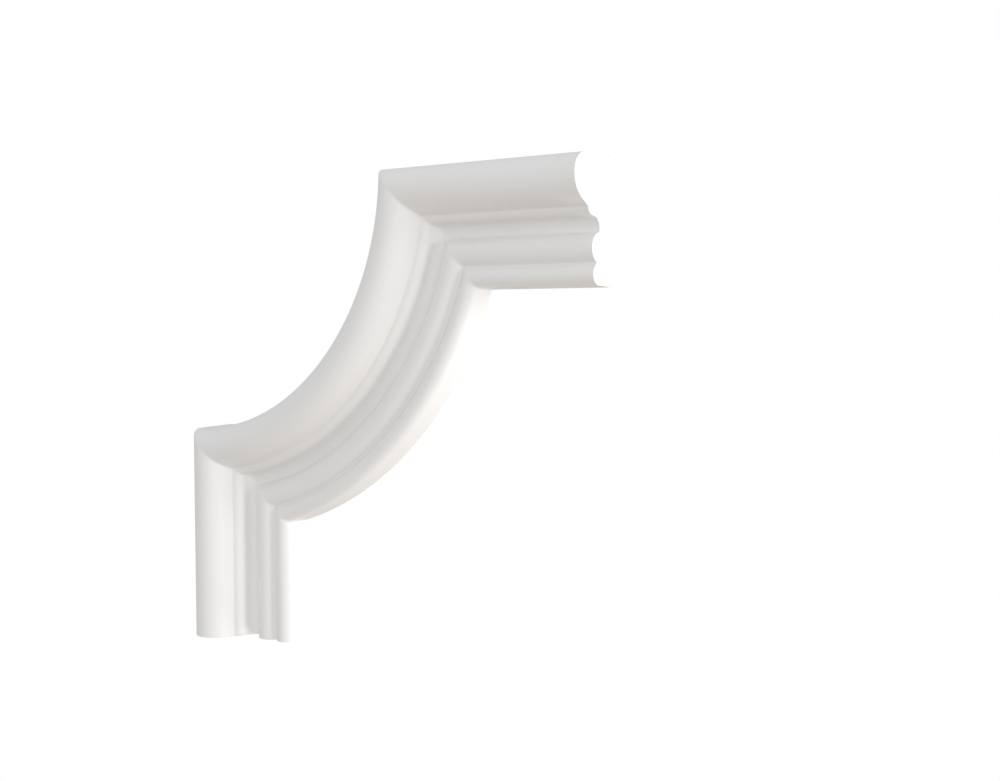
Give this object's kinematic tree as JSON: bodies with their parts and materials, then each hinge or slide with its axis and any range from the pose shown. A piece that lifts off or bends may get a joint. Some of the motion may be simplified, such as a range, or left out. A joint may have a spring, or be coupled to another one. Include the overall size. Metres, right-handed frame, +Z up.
{
  "type": "decorative corner moulding",
  "caption": "Scooped corner piece of a carved panel moulding: straight runs joined by a quarter-round sweep, with a round nose, a ledge, a cove and beads.",
  "frame": {"origin": "on the flat back, at the middle of the sweep, half way across the face", "axes": "+X runs along the upper run towards its cut end, +Z runs up the lower run towards the sweep, +Y points into the wall and the carved face looks along -Y"},
  "size_m": [0.251, 0.0325, 0.251],
  "materials": {
    "primed_white": "satin factory primer on moulded foam"
  },
  "bodies": {
    "root": {"corner_moulding": "primed_white"}
  },
  "joints": []
}
